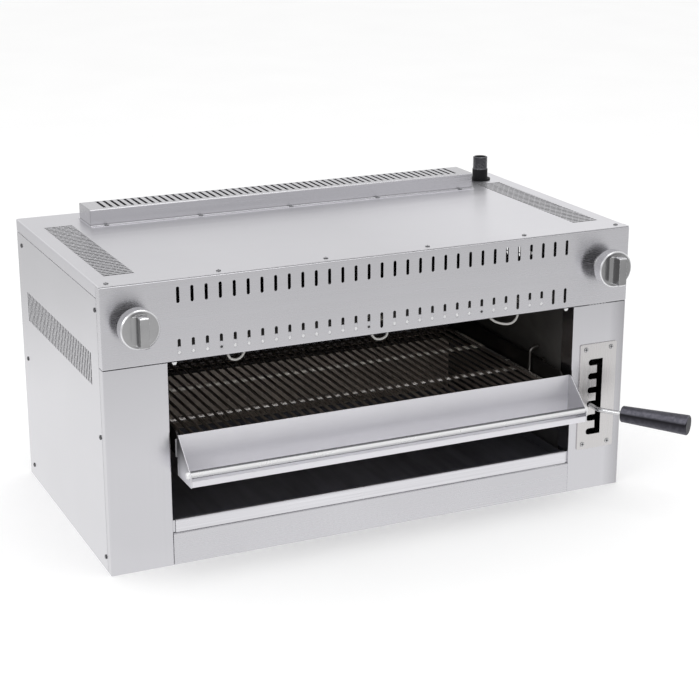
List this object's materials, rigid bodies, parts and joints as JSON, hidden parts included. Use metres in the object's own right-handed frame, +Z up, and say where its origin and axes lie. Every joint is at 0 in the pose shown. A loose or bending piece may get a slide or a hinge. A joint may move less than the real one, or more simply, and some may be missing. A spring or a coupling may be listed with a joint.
{
  "type": "salamander grill",
  "caption": "Open-fronted gas overhead grill whose side lever lifts the rack on a parallel linkage, with a drip trough, crumb tray, push-and-turn knobs and slotted flue cover.",
  "frame": {"origin": "centre of the casing's base, on the surface that the grill stands on", "axes": "+X along the front to the right as seen by the cook, +Y from the front to the back, +Z up"},
  "size_m": [0.9462, 0.6311, 0.495],
  "materials": {
    "galvanised_sheet": "dull galvanised",
    "brushed_casing": "brushed stainless, grain along the width",
    "cavity_steel": "dull stainless",
    "selector_plate": "satin stainless",
    "screws": "bright",
    "burner_steel": "dull",
    "ceramic": "matt ceramic",
    "gas_pipe": "zinc plated",
    "brass": "machined",
    "bezel": "satin",
    "knob": "satin with bright edges",
    "linkage_steel": "dull",
    "bright_rod": "bright",
    "grip_plastic": "matt black",
    "inlet_steel": "dark, with a dull thread",
    "carrier_steel": "satin",
    "rack_frame": "bright nickel",
    "rack_bars": "dark from use",
    "trough_steel": "brushed stainless",
    "bright_handle": "satin bar",
    "tray_steel": "satin stainless",
    "igniter_ceramic": "glazed ceramic",
    "lead_sleeve": "pale silicone"
  },
  "bodies": {
    "casing": {"base_pan": "galvanised_sheet", "side_panel_right": "brushed_casing", "side_panel_left": "brushed_casing", "corner_posts": "galvanised_sheet", "back_panel": "galvanised_sheet", "lid": "brushed_casing", "fascia": "brushed_casing", "slot_strip": "galvanised_sheet", "column_left": "brushed_casing", "column_right": "brushed_casing", "low_panel": "brushed_casing", "selector_plate": "selector_plate", "selector_screws": "screws", "casing_screws": "screws", "cavity_wall_right": "cavity_steel", "cavity_wall_left": "cavity_steel", "cavity_back": "cavity_steel", "cavity_floor": "galvanised_sheet", "tray_guides": "galvanised_sheet", "ceiling": "galvanised_sheet", "burner_right": "burner_steel", "burner_left": "burner_steel", "burner_tiles": "ceramic", "gas_pipe": "gas_pipe", "valve_right": "brass", "valve_left": "brass", "bezel_right": "bezel", "bezel_left": "bezel", "gas_inlet": "inlet_steel", "inlet_flange": "inlet_steel", "flue_cover": "brushed_casing", "shaft_bushes": "brass", "igniters": "igniter_ceramic", "lead_terminals": "igniter_ceramic", "lead_left": "lead_sleeve", "lead_middle": "lead_sleeve", "lead_right": "lead_sleeve"},
    "plug_r": {"plug_right": "brass"},
    "plug_l": {"plug_left": "brass"},
    "knob_r": {"knob_right": "knob", "stem_right": "linkage_steel"},
    "knob_l": {"knob_left": "knob", "stem_left": "linkage_steel"},
    "lift": {"lift_shaft": "linkage_steel", "lift_arm_right": "linkage_steel", "lift_arm_left": "linkage_steel", "lever_hub": "linkage_steel"},
    "lever": {"lever_rod": "bright_rod", "lever_grip": "grip_plastic"},
    "links": {"link_shaft": "linkage_steel", "link_arm_right": "linkage_steel", "link_arm_left": "linkage_steel"},
    "carrier": {"carrier_right": "carrier_steel", "carrier_left": "carrier_steel", "hold_down_fingers": "rack_frame"},
    "rack": {"rack_frame": "rack_frame", "rack_bars": "rack_bars", "trough": "trough_steel", "trough_handle": "bright_handle"},
    "tray": {"crumb_tray": "tray_steel"}
  },
  "joints": [
    {"name": "turn_r", "type": "hinge", "parent": "casing", "child": "plug_r", "pos_m": [0.402, -0.2, 0.3928], "axis": [0, -1, 0], "range_deg": [0, 180]},
    {"name": "push_r", "type": "slide", "parent": "plug_r", "child": "knob_r", "axis": [0, 1, 0], "range_m": [0, 0.003], "stiffness_N_per_m": 2500, "springref_m": -0.002},
    {"name": "turn_l", "type": "hinge", "parent": "casing", "child": "plug_l", "pos_m": [-0.402, -0.2, 0.3928], "axis": [0, -1, 0], "range_deg": [0, 180]},
    {"name": "push_l", "type": "slide", "parent": "plug_l", "child": "knob_l", "axis": [0, 1, 0], "range_m": [0, 0.003], "stiffness_N_per_m": 2500, "springref_m": -0.002},
    {"name": "lift", "type": "hinge", "parent": "casing", "child": "lift", "pos_m": [0, 0.185, 0.205], "axis": [-1, 0, 0], "range_deg": [-6.57, 9.97], "deforming": ["lever_rod"]},
    {"name": "release", "type": "hinge", "parent": "lift", "child": "lever", "pos_m": [0.387, 0.16, 0.2017], "axis": [0, 0, 1], "range_deg": [0, 2.25], "stiffness_Nm_per_rad": 380, "deforming": ["lever_rod"]},
    {"name": "links", "type": "hinge", "parent": "casing", "child": "links", "pos_m": [0, 0.185, 0.162], "axis": [-1, 0, 0], "range_deg": [-6.58, 9.98]},
    {"name": "level", "type": "hinge", "parent": "lift", "child": "carrier", "pos_m": [0, -0.15, 0.205], "axis": [-1, 0, 0], "range_deg": [-9.98, 6.58]},
    {"name": "rack_pull", "type": "slide", "parent": "carrier", "child": "rack", "axis": [0, -1, 0], "range_m": [0, 0.22]},
    {"name": "tray_pull", "type": "slide", "parent": "casing", "child": "tray", "axis": [0, -1, 0], "range_m": [0, 0.3]}
  ],
  "couplings": [
    {"joint": "links", "follows": "lift", "ratio": 1},
    {"joint": "level", "follows": "lift", "ratio": -1}
  ]
}
